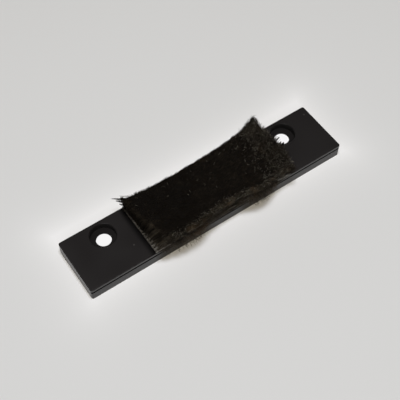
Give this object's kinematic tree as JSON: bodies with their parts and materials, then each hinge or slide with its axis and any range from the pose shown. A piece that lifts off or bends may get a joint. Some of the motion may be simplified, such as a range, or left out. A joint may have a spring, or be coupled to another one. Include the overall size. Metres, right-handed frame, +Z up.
{
  "type": "brush seal strip",
  "caption": "Short carrier block with counterbored screw holes and a dense, worn pile pad on top, for closing the gap at the end of a sliding sash.",
  "frame": {"origin": "centre of the carrier plate's underside, on the plane it stands on", "axes": "+X along the plate, +Y across it towards the screw holes, +Z up through the pile"},
  "size_m": [0.096, 0.0254, 0.0115],
  "materials": {
    "black_plastic": "satin moulded",
    "film": "translucent acrylic adhesive",
    "woven_backing": "tightly woven ribbon",
    "pile_fibre": "dense cut pile, worn"
  },
  "bodies": {
    "root": {"carrier_plate": "black_plastic", "adhesive_film": "film", "pile_backing": "woven_backing", "pile": "pile_fibre"}
  },
  "joints": []
}
